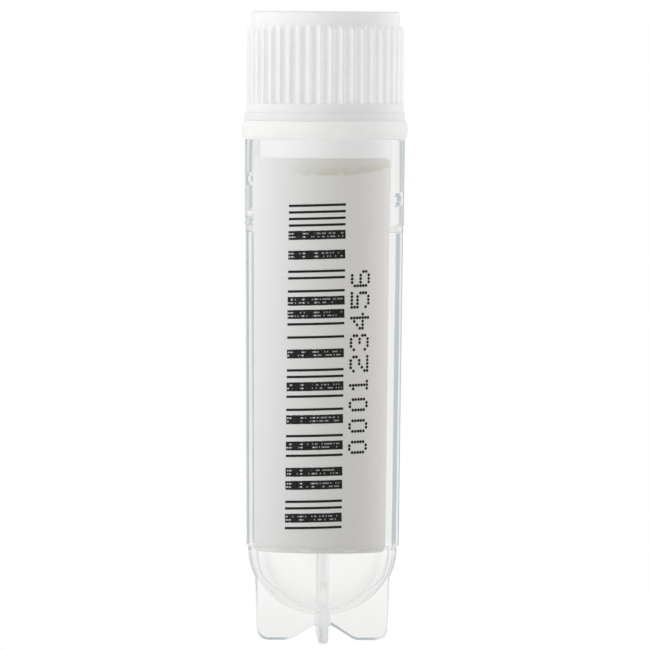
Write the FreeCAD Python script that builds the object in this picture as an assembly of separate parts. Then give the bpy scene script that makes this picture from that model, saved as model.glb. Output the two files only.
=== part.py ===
"""Self-standing cryogenic vial, 2 ml, with a screw cap that threads into the tube's mouth.

Four pieces: a moulded tube on a four-finned foot, a ribbed screw cap with a hollow plug, the
silicone washer that the cap squeezes on the tube's rim, and the printed label round the tube.
Millimetres.  +Z is up, the origin is the centre of the foot, and the vial's front faces -Y.
"""

import FreeCAD, Part

import math
import os

from FreeCAD import Vector

# ---------------------------------------------------------------- driving dimensions
# tube
TUBE_HEIGHT = 38.1          # ground to rim
BODY_R = 5.99               # outer radius where the body meets the neck
BODY_WALL = 1.33            # wall of the body
DRAFT_DEG = 0.45            # mould draft, inside and outside
NECK_STEP = 0.05            # how far the neck stands out from the body
NECK_WALL = 0.94            # wall round the threaded mouth
MOUTH_DEPTH = 6.5           # rim to the shoulder where the mouth narrows to the cavity
SHOULDER_DROP = 0.5         # height of the cone between the mouth and the cavity
RIM_ROUND = 0.15            # rounding of the rim's two edges
FOOT_CLEARANCE = 1.9        # ground to the lowest point of the round bottom
DOME_DEPTH = 5.03           # height of the round bottom, outside
DOME_SKIRT = 0.22           # plain band between the round bottom and the ledge under the body
LEDGE_STEP = 0.16           # how far the body overhangs the fins where they reach the ledge
FLOOR_WALL = 0.63           # wall at the lowest point

# foot
FIN_COUNT = 4
FIN_THICKNESS = 0.78
FIN_PROUD = 0.14            # fins out of the round bottom, where both reach the ledge
FIN_INSET = 0.52            # from there in to a fin's straight outer edge
FIN_DRAFT_DEG = 1.4         # how the fin's outer edge leans in towards the ground
FIN_CORNER_R = 0.9          # outer bottom corner
FIN_FLAT_INNER_R = 2.5      # inner end of the flat that stands on the ground
FIN_ARCH_R = 1.2            # rounding where that flat turns up into the arch
FIN_EDGE_R = 0.2            # rounding of a fin's long edges
HUB_R = 0.75                # post at the crossing of the fins
HUB_CLEARANCE = 1.08        # ground to the post's end

# thread of the mouth and the plug: one start, right-handed
THREAD_PITCH = 2.7
THREAD_HEIGHT = 0.4         # ridge, from root to crest
THREAD_CREST_WIDTH = 0.55
THREAD_FLANK_DEG = 30.0     # flank, from the radial direction
THREAD_RADIAL_GAP = 0.15    # crest to root, all round
THREAD_FLANK_GAP = 0.1      # along the axis, between the flanks that press when closed
THREAD_START_DEG = 150.0    # azimuth where the mouth's ridge starts
THREAD_FADE_TURN = 0.14     # part of a turn over which a ridge rises from its wall
MOUTH_LAND = 1.8            # plain bore between the rim and the thread

# washer
WASHER_HEIGHT = 1.4         # squeezed, as closed
WASHER_RIM_OVERHANG = 0.05  # past the rim, where it meets the tube
WASHER_BULGE = 0.16         # how far its side bulges from there
WASHER_BORE_GAP = 0.05      # radial, round the plug

# cap
FLANGE_HEIGHT = 0.65        # the flange is flush with the tube's rim
GRIP_STEP = 0.12            # flange in to the tops of the ribs
GRIP_HEIGHT = 6.2           # flange to the chamfer
GRIP_PLAIN_BAND = 0.65      # smooth band under the ribs
CHAMFER_HEIGHT = 0.5        # from the grip in to the crown
CROWN_STEP = 0.31           # tops of the ribs in to the crown
CROWN_HEIGHT = 0.95
CROWN_ROUND = 0.25
FLUTE_COUNT = 44            # grooves between the ribs
FLUTE_R = 0.3
FLUTE_CROWN_GAP = 0.03      # a groove's floor out to the crown's side
CROWN_WALL = 1.46           # round the seat for a coloured marker disc
RECESS_DEPTH = 1.5          # depth of that seat
CAP_WEB = 1.2               # between that seat and the hollow of the plug
PLUG_TIP_GAP = 0.15         # height of the plug's tip above the shoulder
PLUG_NECK_TAPER = 0.4       # height of the cone from the plug's neck to its core
PLUG_WALL = 0.95
PLUG_TIP_CHAMFER = 0.25
HOLLOW_ROUND = 0.6          # rounding of the hollow's end

# label
LABEL_THICKNESS = 0.08
LABEL_LEFT_DEG = -63.0      # its two side edges, as azimuths from the front
LABEL_RIGHT_DEG = 53.0
LABEL_FOOT_GAP = 0.02       # round bottom's widest to the label's foot, along the axis
LABEL_RIM_GAP = 1.35        # label to the rim
LABEL_CORNER_R = 0.6

# ---------------------------------------------------------------- derived sizes
AXIS = Vector(0, 0, 1)
ORIGIN = Vector(0, 0, 0)
FRONT_DEG = -90.0
DRAFT = math.tan(math.radians(DRAFT_DEG))
OVERRUN = 0.1               # how far a ridge or cutter reaches into or past its neighbour
THREAD_STATIONS = 16        # sections in one turn of a thread

SHOULDER_Z = TUBE_HEIGHT - MOUTH_DEPTH
NECK_BASE_Z = SHOULDER_Z - NECK_STEP
NECK_R = BODY_R + NECK_STEP
RIM_R = NECK_R + (MOUTH_DEPTH - RIM_ROUND) * DRAFT
MOUTH_R = NECK_R - NECK_WALL
DOME_TOP_Z = FOOT_CLEARANCE + DOME_DEPTH
LEDGE_Z = DOME_TOP_Z + DOME_SKIRT
BODY_BASE_Z = LEDGE_Z + LEDGE_STEP / 2
BODY_BASE_R = BODY_R - (NECK_BASE_Z - BODY_BASE_Z) * DRAFT
FIN_LEDGE_R = BODY_BASE_R - LEDGE_STEP
DOME_R = FIN_LEDGE_R - FIN_PROUD
FIN_EDGE_TOP_R = FIN_LEDGE_R - FIN_INSET

CAVITY_TOP_Z = SHOULDER_Z - SHOULDER_DROP
CAVITY_TOP_R = BODY_R - SHOULDER_DROP * DRAFT - BODY_WALL
CAVITY_FLOOR_Z = FOOT_CLEARANCE + FLOOR_WALL
CAVITY_BASE_R = (CAVITY_TOP_R - (CAVITY_TOP_Z - CAVITY_FLOOR_Z) * DRAFT) / (1 - DRAFT)

MOUTH_CREST_R = MOUTH_R - THREAD_HEIGHT
PLUG_CREST_R = MOUTH_R - THREAD_RADIAL_GAP
PLUG_CORE_R = PLUG_CREST_R - THREAD_HEIGHT
FLANK_SLOPE = math.tan(math.radians(THREAD_FLANK_DEG))
RIDGE_HALF_FOOT = THREAD_CREST_WIDTH / 2 + THREAD_HEIGHT * FLANK_SLOPE
RIDGE_OVERLAP = PLUG_CREST_R - MOUTH_CREST_R
PLUG_RIDGE_DROP = THREAD_CREST_WIDTH + RIDGE_OVERLAP * FLANK_SLOPE + THREAD_FLANK_GAP
MOUTH_HELIX_Z = SHOULDER_Z + RIDGE_HALF_FOOT
LAND_Z = TUBE_HEIGHT - MOUTH_LAND

FLANGE_R = RIM_R
GRIP_R = FLANGE_R - GRIP_STEP
CROWN_R = GRIP_R - CROWN_STEP
FLUTE_AXIS_R = CROWN_R + FLUTE_CROWN_GAP + FLUTE_R
RECESS_R = CROWN_R - CROWN_WALL
FLANGE_Z = TUBE_HEIGHT + WASHER_HEIGHT
GRIP_Z = FLANGE_Z + FLANGE_HEIGHT
GRIP_TOP_Z = GRIP_Z + GRIP_HEIGHT
CROWN_Z = GRIP_TOP_Z + CHAMFER_HEIGHT
CAP_TOP_Z = CROWN_Z + CROWN_HEIGHT
RECESS_Z = CAP_TOP_Z - RECESS_DEPTH
PLUG_TIP_Z = SHOULDER_Z + PLUG_TIP_GAP
HOLLOW_R = PLUG_CORE_R - PLUG_WALL
HOLLOW_TOP_Z = RECESS_Z - CAP_WEB

LABEL_TOP_Z = TUBE_HEIGHT - LABEL_RIM_GAP
LABEL_BASE_Z = DOME_TOP_Z + LABEL_FOOT_GAP

UP, INWARD, OUTWARD = (0, 1), (-1, 0), (1, 0)


# ---------------------------------------------------------------- drawing helpers
def at(r, z):
    """Point at radius r and height z in the half plane through +X."""
    return Vector(r, 0, z)


def outline(start, *steps):
    """Closed wire in the half plane.

    A step is an end point, the (middle, end) of an arc, or a ready-made edge.
    """
    edges = []
    here = at(*start)
    for step in steps + (start,):
        if isinstance(step, Part.Edge):
            edge = step
        elif isinstance(step[0], tuple):
            edge = Part.Arc(here, at(*step[0]), at(*step[1])).toShape()
        else:
            edge = Part.LineSegment(here, at(*step)).toShape()
        edges.append(edge)
        here = edge.lastVertex(True).Point
    return Part.Wire(edges)


def rounded(r, z, radius, arriving, leaving):
    """Two steps that round the square corner (r, z), given the directions into and out of it."""
    inset = radius * (1 - math.sqrt(0.5))
    start = (r - arriving[0] * radius, z - arriving[1] * radius)
    middle = (r + (leaving[0] - arriving[0]) * inset, z + (leaving[1] - arriving[1]) * inset)
    end = (r + leaving[0] * radius, z + leaving[1] * radius)
    return start, (middle, end)


def ellipse_arc(r, depth, top_z, start):
    """Edge of an ellipse about the axis, depth below top_z at its lowest.

    It runs from the start (r, z) out to radius r at top_z.
    """
    side, bottom, centre = at(r, top_z), at(0, top_z - depth), at(0, top_z)
    if depth > r:
        curve = Part.Ellipse(bottom, side, centre)
    else:
        curve = Part.Ellipse(side, bottom, centre)
        curve.reverse()
    return curve.toShape(curve.parameter(at(*start)), curve.parameter(side))


def turned(wire, degrees=360.0):
    """Solid of revolution about the axis."""
    return Part.Face(wire).revolve(ORIGIN, AXIS, degrees)


def around(shape, count):
    """Copies of a shape, evenly spaced round the axis."""
    copies = []
    for i in range(count):
        copy = shape.copy()
        copy.rotate(ORIGIN, AXIS, i * 360.0 / count)
        copies.append(copy)
    return copies


# ---------------------------------------------------------------- thread
def thread_ridge(root_r, crest_r, helix_z, low_z, high_z):
    """One helical ridge that stands on root_r, reaches crest_r and fades at both ends.

    The helix is at helix_z at THREAD_START_DEG, and its ridge fills low_z to high_z.
    """
    outward = 1 if crest_r > root_r else -1
    first = (low_z + RIDGE_HALF_FOOT - helix_z) / THREAD_PITCH
    last = (high_z - RIDGE_HALF_FOOT - helix_z) / THREAD_PITCH
    count = math.ceil((last - first) * THREAD_STATIONS)
    sunk_r = root_r - outward * OVERRUN
    faded_r = root_r - outward * OVERRUN / 2

    sections = []
    for i in range(count + 1):
        turn = first + (last - first) * i / count
        rise = min(1.0, (turn - first) / THREAD_FADE_TURN, (last - turn) / THREAD_FADE_TURN)
        tip_r = faded_r + (crest_r - faded_r) * math.sin(rise * math.pi / 2) ** 2
        z = helix_z + turn * THREAD_PITCH
        foot_half, tip_half = [THREAD_CREST_WIDTH / 2 + abs(crest_r - r) * FLANK_SLOPE
                               for r in (sunk_r, tip_r)]
        section = outline((sunk_r, z - foot_half), (tip_r, z - tip_half),
                          (tip_r, z + tip_half), (sunk_r, z + foot_half))
        section.rotate(ORIGIN, AXIS, THREAD_START_DEG + turn * 360.0)
        sections.append(section)
    return Part.makeLoft(sections, True)


# ---------------------------------------------------------------- tube
def fin():
    """One fin of the foot, upright in the +X half plane, from the axis out.

    Its straight outer edge flares into an ellipse that rises to the ledge.
    """
    lean = math.tan(math.radians(FIN_DRAFT_DEG))
    foot_r = FIN_EDGE_TOP_R - DOME_TOP_Z * lean
    stretch = (FIN_LEDGE_R / DOME_DEPTH) ** 2 + lean ** 2
    slack = FIN_LEDGE_R ** 2 - FIN_EDGE_TOP_R ** 2
    drop = (FIN_EDGE_TOP_R * lean
            + math.sqrt((FIN_EDGE_TOP_R * lean) ** 2 + stretch * slack)) / stretch
    flare = (FIN_EDGE_TOP_R - drop * lean, DOME_TOP_Z - drop)
    arch_slope = HUB_CLEARANCE / (FIN_FLAT_INNER_R - HUB_R)
    arch_angle = math.atan(arch_slope)
    reach = FIN_ARCH_R * math.tan(arch_angle / 2)
    arch_end = (FIN_FLAT_INNER_R - reach * math.cos(arch_angle), reach * math.sin(arch_angle))
    arch_mid = (FIN_FLAT_INNER_R + reach - FIN_ARCH_R * math.sin(arch_angle / 2),
                FIN_ARCH_R * (1 - math.cos(arch_angle / 2)))
    profile = outline(
        (0, FIN_FLAT_INNER_R * arch_slope), arch_end,
        (arch_mid, (FIN_FLAT_INNER_R + reach, 0)),
        *rounded(foot_r, 0, FIN_CORNER_R, OUTWARD, UP),
        flare, ellipse_arc(FIN_LEDGE_R, DOME_DEPTH, DOME_TOP_Z, flare),
        (FIN_LEDGE_R, LEDGE_Z), (0, LEDGE_Z))
    plate = Part.Face(profile).extrude(Vector(0, FIN_THICKNESS, 0))
    plate.translate(Vector(0, -FIN_THICKNESS / 2, 0))
    side_edges = [edge for edge in plate.Edges if edge.BoundBox.YLength < FIN_EDGE_R]
    return plate.makeFillet(FIN_EDGE_R, side_edges)


def tube():
    """Moulded tube: drafted body, round bottom, finned foot and threaded mouth."""
    outside = turned(outline(
        (0, FOOT_CLEARANCE),
        ellipse_arc(DOME_R, DOME_DEPTH, DOME_TOP_Z, (0, FOOT_CLEARANCE)),
        (DOME_R, LEDGE_Z), (BODY_BASE_R, BODY_BASE_Z), (BODY_R, NECK_BASE_Z), (NECK_R, SHOULDER_Z),
        *rounded(RIM_R, TUBE_HEIGHT, RIM_ROUND, UP, INWARD), (0, TUBE_HEIGHT)))
    hub = Part.makeCylinder(HUB_R, DOME_TOP_Z - HUB_CLEARANCE, at(0, HUB_CLEARANCE))
    solid = outside.fuse([hub] + around(fin(), FIN_COUNT))

    low_middle = (CAVITY_BASE_R * math.sqrt(0.5),
                  CAVITY_FLOOR_Z + CAVITY_BASE_R * (1 - math.sqrt(0.5)))
    cavity = turned(outline(
        (0, CAVITY_FLOOR_Z), (low_middle, (CAVITY_BASE_R, CAVITY_FLOOR_Z + CAVITY_BASE_R)),
        (CAVITY_TOP_R, CAVITY_TOP_Z), (MOUTH_R, SHOULDER_Z),
        *rounded(MOUTH_R, TUBE_HEIGHT, RIM_ROUND, UP, OUTWARD),
        (MOUTH_R + RIM_ROUND, TUBE_HEIGHT + OVERRUN), (0, TUBE_HEIGHT + OVERRUN)))
    ridge = thread_ridge(MOUTH_R, MOUTH_CREST_R, MOUTH_HELIX_Z, SHOULDER_Z, LAND_Z)
    return solid.cut(cavity).fuse(ridge).removeSplitter()


# ---------------------------------------------------------------- washer
def sealing_washer():
    """Silicone ring squeezed between the rim and the flange, so that its side bulges."""
    edge_r = RIM_R + WASHER_RIM_OVERHANG
    bore_r = PLUG_CREST_R + WASHER_BORE_GAP
    middle = (edge_r + WASHER_BULGE, TUBE_HEIGHT + WASHER_HEIGHT / 2)
    return turned(outline((bore_r, TUBE_HEIGHT), (edge_r, TUBE_HEIGHT),
                          (middle, (edge_r, FLANGE_Z)), (bore_r, FLANGE_Z)))


# ---------------------------------------------------------------- cap
def flute():
    """Round bar that cuts one groove of the grip, up through the chamfer."""
    low_z = GRIP_Z + GRIP_PLAIN_BAND
    return Part.makeCylinder(FLUTE_R, CAP_TOP_Z - low_z, at(FLUTE_AXIS_R, low_z))


def screw_cap():
    """Ribbed cap with a flange, a recessed crown and a hollow threaded plug."""
    outside = turned(outline(
        (0, PLUG_TIP_Z), (PLUG_CORE_R - PLUG_TIP_CHAMFER, PLUG_TIP_Z),
        (PLUG_CORE_R, PLUG_TIP_Z + PLUG_TIP_CHAMFER),
        (PLUG_CORE_R, LAND_Z), (PLUG_CREST_R, LAND_Z + PLUG_NECK_TAPER),
        (PLUG_CREST_R, FLANGE_Z), (FLANGE_R, FLANGE_Z), (FLANGE_R, GRIP_Z),
        (GRIP_R, GRIP_Z), (GRIP_R, GRIP_TOP_Z), (CROWN_R, CROWN_Z),
        *rounded(CROWN_R, CAP_TOP_Z, CROWN_ROUND, UP, INWARD), (0, CAP_TOP_Z)))
    recess = Part.makeCylinder(RECESS_R, RECESS_DEPTH + OVERRUN, at(0, RECESS_Z))
    hollow = turned(outline(
        (0, PLUG_TIP_Z - OVERRUN), (HOLLOW_R, PLUG_TIP_Z - OVERRUN),
        *rounded(HOLLOW_R, HOLLOW_TOP_Z, HOLLOW_ROUND, UP, INWARD), (0, HOLLOW_TOP_Z)))
    solid = outside.cut([recess, hollow] + around(flute(), FLUTE_COUNT))
    ridge = thread_ridge(PLUG_CORE_R, PLUG_CREST_R, MOUTH_HELIX_Z - PLUG_RIDGE_DROP,
                         PLUG_TIP_Z + PLUG_TIP_CHAMFER, LAND_Z)
    return solid.fuse(ridge).removeSplitter()


# ---------------------------------------------------------------- label
def label():
    """Printed film round the front of the tube, over the neck's step and past the low ledge."""
    base_r = BODY_BASE_R + (LABEL_BASE_Z - BODY_BASE_Z) * DRAFT
    top_r = NECK_R + (LABEL_TOP_Z - SHOULDER_Z) * DRAFT
    back = [(base_r, LABEL_BASE_Z), (BODY_R, NECK_BASE_Z), (NECK_R, SHOULDER_Z),
            (top_r, LABEL_TOP_Z)]
    front = [(r + LABEL_THICKNESS, z) for r, z in reversed(back)]
    film = turned(outline(*back, *front), LABEL_RIGHT_DEG - LABEL_LEFT_DEG)
    corners = [edge for edge in film.Edges
               if abs(edge.Length - LABEL_THICKNESS) < LABEL_THICKNESS / 10]
    film = film.makeFillet(LABEL_CORNER_R, corners)
    film.rotate(ORIGIN, AXIS, FRONT_DEG + LABEL_LEFT_DEG)
    return film


# ---------------------------------------------------------------- output
PIECES = {"tube": tube, "sealing_washer": sealing_washer, "screw_cap": screw_cap,
          "label": label}

os.makedirs("parts", exist_ok=True)
for name, build in PIECES.items():
    shape = build()
    if len(shape.Solids) != 1 or not shape.isValid():
        raise RuntimeError(f"{name} is not one valid solid")
    piece = shape.Solids[0]
    piece.exportStep(f"parts/{name}.step")
    print(f"{name}: {piece.Volume:.2f} mm3, {len(piece.Faces)} faces")
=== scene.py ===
"""Self-standing cryogenic vial with its screw cap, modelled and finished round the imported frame.

The clear tube, the sealing washer, the ribbed cap and the printed label are modelled here as
smooth closed pieces at the frame's own places and sizes.  The sidebar's Cryovial tab lists the
sizes and colours, and a button for each piece.
"""

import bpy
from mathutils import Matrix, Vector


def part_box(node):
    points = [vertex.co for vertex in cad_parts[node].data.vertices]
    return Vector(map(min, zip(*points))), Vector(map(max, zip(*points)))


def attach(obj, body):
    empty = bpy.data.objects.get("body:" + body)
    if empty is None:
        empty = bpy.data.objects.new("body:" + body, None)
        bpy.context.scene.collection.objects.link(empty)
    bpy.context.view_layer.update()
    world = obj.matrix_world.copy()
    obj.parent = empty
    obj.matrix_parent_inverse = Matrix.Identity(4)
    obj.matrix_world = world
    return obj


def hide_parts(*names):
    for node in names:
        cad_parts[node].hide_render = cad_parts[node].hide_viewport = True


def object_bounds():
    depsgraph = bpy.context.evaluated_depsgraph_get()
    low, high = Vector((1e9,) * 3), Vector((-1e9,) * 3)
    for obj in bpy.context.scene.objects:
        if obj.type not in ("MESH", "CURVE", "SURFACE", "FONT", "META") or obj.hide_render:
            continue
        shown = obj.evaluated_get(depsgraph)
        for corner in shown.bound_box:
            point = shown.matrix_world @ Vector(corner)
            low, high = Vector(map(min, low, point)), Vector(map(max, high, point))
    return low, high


bl_info = {
    "name": "Cryovial",
    "version": (1, 0, 0),
    "blender": (4, 5, 0),
    "location": "View3D > Sidebar > Cryovial",
    "description": "Models a clear cryogenic vial with a ribbed cap, a washer and a printed label",
    "category": "Add Mesh",
}

import math

import bmesh
import bpy
from bpy.props import (
    FloatProperty,
    FloatVectorProperty,
    IntProperty,
    PointerProperty,
    StringProperty,
)
from mathutils import Quaternion, Vector

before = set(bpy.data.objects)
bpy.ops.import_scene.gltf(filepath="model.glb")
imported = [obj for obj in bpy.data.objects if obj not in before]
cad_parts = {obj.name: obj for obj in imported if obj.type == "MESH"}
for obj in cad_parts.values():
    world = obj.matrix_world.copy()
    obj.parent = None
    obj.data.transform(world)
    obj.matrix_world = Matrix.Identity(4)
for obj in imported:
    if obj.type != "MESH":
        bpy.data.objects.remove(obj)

CAD_BOX = [list(corner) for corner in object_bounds()]
TUBE_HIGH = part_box("tube")[1]
WASHER_LOW, WASHER_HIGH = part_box("sealing_washer")
CAP_LOW, CAP_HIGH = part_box("screw_cap")
LABEL_LOW, LABEL_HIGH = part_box("label")

MM = 0.001
MERGE = 0.001 * MM          # vertices nearer than this are one
TURN = 2 * math.pi
COLUMNS = 192               # faces round a turned piece


def linear(colour):
    """An sRGB hex colour such as F4F6F5 as linear red, green, blue and 1."""
    shares = [int(colour[i:i + 2], 16) / 255 for i in (0, 2, 4)]
    return [s / 12.92 if s <= 0.04045 else ((s + 0.055) / 1.055) ** 2.4 for s in shares] + [1.0]


def length(name, default, description):
    """A length property. Its default is in metres."""
    return FloatProperty(name=name, description=description, default=default, min=0.0,
                         unit="LENGTH", subtype="DISTANCE", precision=5)


def turn(name, degrees, description):
    """An angle property. Its default is in degrees."""
    return FloatProperty(name=name, description=description, default=math.radians(degrees),
                         unit="ROTATION", subtype="ANGLE")


def colour(name, code, description):
    """A colour property. Its default is an sRGB hex code."""
    return FloatVectorProperty(name=name, description=description, default=linear(code)[:3],
                               min=0.0, max=1.0, size=3, subtype="COLOR")


# ---------------------------------------------------------------- what a user may change
class TubeSizes(bpy.types.PropertyGroup):
    """Sizes of the moulded tube, apart from the height and rim that the frame gives."""

    body_radius: length("Body radius", 5.99 * MM, "Outer radius just below the neck")
    body_wall: length("Body wall", 1.33 * MM, "Wall of the body")
    draft: turn("Draft", 0.45, "Mould draft of the walls, inside and outside")
    neck_step: length("Neck step", 0.05 * MM, "How far the neck stands out from the body")
    neck_wall: length("Neck wall", 0.94 * MM, "Wall round the threaded mouth")
    mouth_depth: length("Mouth depth", 6.5 * MM, "Rim to the shoulder inside")
    shoulder_drop: length("Shoulder drop", 0.5 * MM, "Height of the cone under the mouth")
    rim_round: length("Rim rounding", 0.06 * MM, "Rounding of the rim's two edges")
    foot_clearance: length("Foot clearance", 1.9 * MM, "Ground to the round bottom")
    dome_depth: length("Round bottom depth", 5.03 * MM, "Height of the round bottom, outside")
    dome_skirt: length("Skirt", 0.22 * MM, "Plain band between round bottom and ledge")
    ledge_step: length("Ledge step", 0.16 * MM, "How far the body overhangs the fins there")
    fin_proud: length("Fin stand-out", 0.14 * MM, "Fins out of the round bottom at the ledge")
    floor_wall: length("Floor wall", 0.63 * MM, "Wall at the lowest point")
    fin_thickness: length("Fin thickness", 0.78 * MM, "Thickness of a foot fin")
    fin_inset: length("Fin inset", 0.52 * MM, "From there in to a fin's straight outer edge")
    fin_lean: turn("Fin lean", 1.4, "How a fin's outer edge leans in towards the ground")
    fin_corner: length("Fin corner", 0.9 * MM, "Rounding of a fin's outer bottom corner")
    fin_edge: length("Fin edge", 0.2 * MM, "Rounding of a fin's long edges")
    flat_inner: length("Foot flat", 2.5 * MM, "Axis to where a fin starts to stand on the ground")
    arch_round: length("Arch rounding", 1.2 * MM, "Rounding where the foot turns into the arch")
    hub_radius: length("Hub radius", 0.75 * MM, "Post at the crossing of the fins")
    hub_clearance: length("Hub clearance", 1.08 * MM, "Ground to the post's end")
    plastic: colour("Plastic", "FEFEFD", "Tint of the clear plastic")


class ThreadSizes(bpy.types.PropertyGroup):
    """Sizes of the single-start right-hand thread in the mouth and on the plug."""

    pitch: length("Pitch", 2.7 * MM, "Rise of the thread in one turn")
    height: length("Height", 0.4 * MM, "Ridge from root to crest")
    crest: length("Crest width", 0.55 * MM, "Width of the ridge's top")
    flank: turn("Flank", 30.0, "Flank, from the radial direction")
    radial_gap: length("Radial gap", 0.15 * MM, "Crest to root, all round")
    flank_gap: length("Flank gap", 0.1 * MM, "Along the axis, between the flanks")
    start: turn("Start", 150.0, "Azimuth where the mouth's ridge starts")
    fade: FloatProperty(name="Fade", default=0.14, min=0.01, max=0.5,
                        description="Part of a turn over which a ridge rises from its wall")
    land: length("Land", 1.8 * MM, "Plain bore between the rim and the thread")


class WasherSizes(bpy.types.PropertyGroup):
    """Sizes of the squeezed silicone washer."""

    rim_overhang: length("Overhang", 0.05 * MM, "Past the rim, where it meets the tube")
    bore_gap: length("Bore gap", 0.05 * MM, "Radial gap round the plug")
    edge_round: length("Edge rounding", 0.1 * MM, "Rounding of its edges")
    rubber: colour("Silicone", "F3F3F0", "Colour of the milky silicone")


class CapSizes(bpy.types.PropertyGroup):
    """Sizes of the ribbed cap and its hollow plug."""

    flange_height: length("Flange height", 0.65 * MM, "Height of the smooth flange")
    grip_step: length("Grip step", 0.12 * MM, "Flange in to the tops of the ribs")
    grip_height: length("Grip height", 6.2 * MM, "Flange to the chamfer")
    plain_band: length("Plain band", 0.65 * MM, "Smooth band under the ribs")
    chamfer: length("Chamfer height", 0.5 * MM, "From the grip in to the crown")
    crown_step: length("Crown step", 0.31 * MM, "Tops of the ribs in to the crown")
    crown_round: length("Crown rounding", 0.25 * MM, "Rounding of the crown's outer edge")
    crown_wall: length("Crown wall", 1.46 * MM, "Wall round the marker seat")
    seat_depth: length("Seat depth", 1.5 * MM, "Depth of the marker seat")
    web: length("Web", 1.2 * MM, "Between the seat and the plug's hollow")
    plug_wall: length("Plug wall", 0.95 * MM, "Wall of the plug")
    plug_taper: length("Plug taper", 0.4 * MM, "Height of the cone at the plug's neck")
    plug_chamfer: length("Plug chamfer", 0.25 * MM, "Chamfer at the plug's tip")
    hollow_round: length("Hollow rounding", 0.6 * MM, "Rounding of the hollow's end")
    flutes: IntProperty(name="Flutes", default=44, min=3, description="Grooves round the grip")
    flute_radius: length("Flute radius", 0.3 * MM, "Radius of a groove")
    flute_gap: length("Flute gap", 0.03 * MM, "A groove's floor out to the crown's side")
    flute_turn: turn("Flute place", 0.0, "Azimuth of the first groove")
    plastic: colour("Plastic", "E8E8E9", "Colour of the natural plastic")


class LabelSizes(bpy.types.PropertyGroup):
    """Sizes, number and colours of the printed label."""

    left: turn("Left edge", -63.0, "Azimuth of the left edge from the front")
    right: turn("Right edge", 53.0, "Azimuth of the right edge from the front")
    thickness: length("Thickness", 0.08 * MM, "Thickness of the film")
    corner: length("Corner", 0.6 * MM, "Rounding of the label's corners")
    number: StringProperty(name="Number", default="000123456",
                           description="Digits of the code; a check digit is added to the bars")
    ink_height: length("Ink height", 0.012 * MM, "Thickness of the print")
    module: length("Module", 0.248 * MM, "Pitch of the printed lines")
    line: length("Line", 0.18 * MM, "Width of one printed line")
    first_bar: length("First bar", 33.2 * MM, "Height of the first bar's line")
    bar_middle: turn("Bar middle", -6.45, "Azimuth of the bars' middle at the first bar")
    bar_length: length("Bar length", 4.4 * MM, "Length of a printed line round the film")
    slant: turn("Slant", 1.8, "How far the printed lines rise to the right")
    lean: turn("Lean", 0.56, "How far the print drifts to the left on its way down")
    digit_from: turn("Digits from", 19.4, "Azimuth of the digits' top row of dots")
    dot_rows: turn("Row pitch", 2.23, "Azimuth between two rows of dots")
    dot_columns: length("Column pitch", 0.265 * MM, "Height between two columns of dots")
    dot: length("Dot", 0.235 * MM, "Width of a dot")
    digit_pitch: length("Digit pitch", 1.605 * MM, "Height from one digit to the next")
    last_digit: length("Last digit", 28.19 * MM, "Height of the last digit's last column")
    film: colour("Film", "E9E9E7", "Colour of the film")
    ink: colour("Ink", "151315", "Colour of the print")


class StageSizes(bpy.types.PropertyGroup):
    """Camera, floor and lamps."""

    lens: FloatProperty(name="Lens", default=437.5, min=1.0, subtype="DISTANCE_CAMERA",
                        description="Focal length")
    distance: length("Distance", 600.0 * MM, "Camera to the vial's axis")
    height: length("Height", 46.0 * MM, "Camera above the ground")
    aim: length("Aim", 23.98 * MM, "Height that the camera looks at")
    side: turn("Side", 1.2, "Turn of the camera round the vial, to the left of its front")
    roll: turn("Roll", 0.33, "Turn of the camera about its own line of sight")
    aside: length("Aim aside", 0.1 * MM, "How far right of the axis the camera looks")
    floor_radius: length("Floor radius", 110.0 * MM, "Radius of the floor")
    floor: colour("Floor", "BEBEBC", "Colour of the floor's bounced light")


# ---------------------------------------------------------------- modelling by hand
def activate(piece):
    """Selects only this object and makes it the active one."""
    bpy.ops.object.select_all(action="DESELECT")
    piece.select_set(True)
    bpy.context.view_layer.objects.active = piece


def drawn(name, points):
    """A new object in edit mode whose mesh is one line through the points (x, y, z)."""
    bpy.ops.object.select_all(action="DESELECT")
    bpy.ops.mesh.primitive_plane_add(size=MM, location=points[0])
    piece = bpy.context.object
    piece.name = piece.data.name = name
    bpy.ops.object.transform_apply(location=True, rotation=False, scale=False)
    bpy.ops.object.mode_set(mode="EDIT")
    bpy.ops.mesh.select_all(action="SELECT")
    bpy.ops.mesh.merge(type="CENTER")
    for here, there in zip(points, points[1:]):
        step = [b - a for a, b in zip(here, there)]
        bpy.ops.mesh.extrude_vertices_move(TRANSFORM_OT_translate={"value": step})
    bpy.ops.mesh.select_all(action="SELECT")
    return piece


def pick(piece, kind, test):
    """In edit mode, selects only the VERT, EDGE or FACE elements whose middle passes the test."""
    bpy.ops.mesh.select_mode(type=kind)
    bpy.ops.mesh.select_all(action="DESELECT")
    mesh = bmesh.from_edit_mesh(piece.data)
    found = {"VERT": mesh.verts, "EDGE": mesh.edges, "FACE": mesh.faces}[kind]
    for element in found:
        if kind == "VERT":
            middle = element.co
        else:
            middle = sum((v.co for v in element.verts), Vector()) / len(element.verts)
        element.select = bool(test(middle))
    mesh.select_flush_mode()
    bmesh.update_edit_mesh(piece.data)


def made_solid(piece):
    """In edit mode, merges doubles, turns all faces outwards and returns to object mode."""
    bpy.ops.mesh.select_mode(type="VERT")
    bpy.ops.mesh.select_all(action="SELECT")
    bpy.ops.mesh.remove_doubles(threshold=MERGE)
    bpy.ops.mesh.normals_make_consistent(inside=False)
    bpy.ops.object.mode_set(mode="OBJECT")
    return piece


def applied(piece, kind, **settings):
    """Adds a modifier with its settings and applies it."""
    activate(piece)
    modifier = piece.modifiers.new(kind.title(), kind)
    for name, value in settings.items():
        setattr(modifier, name, value)
    bpy.ops.object.modifier_apply(modifier=modifier.name)
    return piece


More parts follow.
